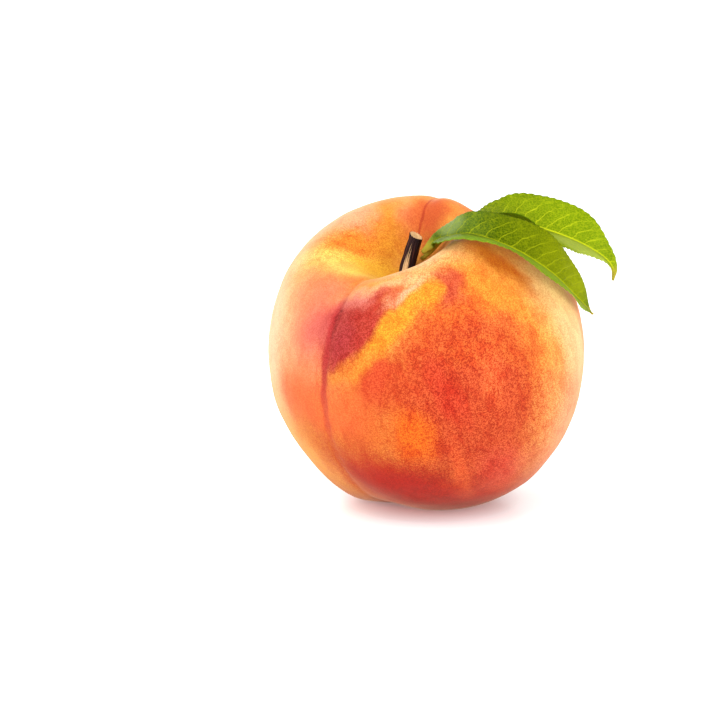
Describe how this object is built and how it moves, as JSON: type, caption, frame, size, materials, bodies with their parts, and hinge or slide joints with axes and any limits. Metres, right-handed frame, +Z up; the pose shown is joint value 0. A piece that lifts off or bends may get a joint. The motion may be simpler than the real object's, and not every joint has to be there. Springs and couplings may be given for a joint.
{
  "type": "peach",
  "caption": "Ripe peach resting on its underside, with a leaning stem cavity, a suture down one side, a short woody stem and long toothed leaves lying over its shoulder.",
  "frame": {"origin": "centre of the small flat spot that the fruit rests on", "axes": "+Z up; -Y towards the side where the suture and the near leaf show; +X towards the leaf tips"},
  "size_m": [0.0863, 0.0779, 0.0756],
  "materials": {
    "skin": "velvety fruit skin, golden orange blushed with red",
    "bark": "rough dark twig bark",
    "leaf": "smooth mid-green leaf",
    "young_leaf": "smooth yellow-green leaf"
  },
  "bodies": {
    "root": {"fruit": "skin", "stem": "bark", "leaf_front": "leaf", "leaf_back": "young_leaf"}
  },
  "joints": []
}
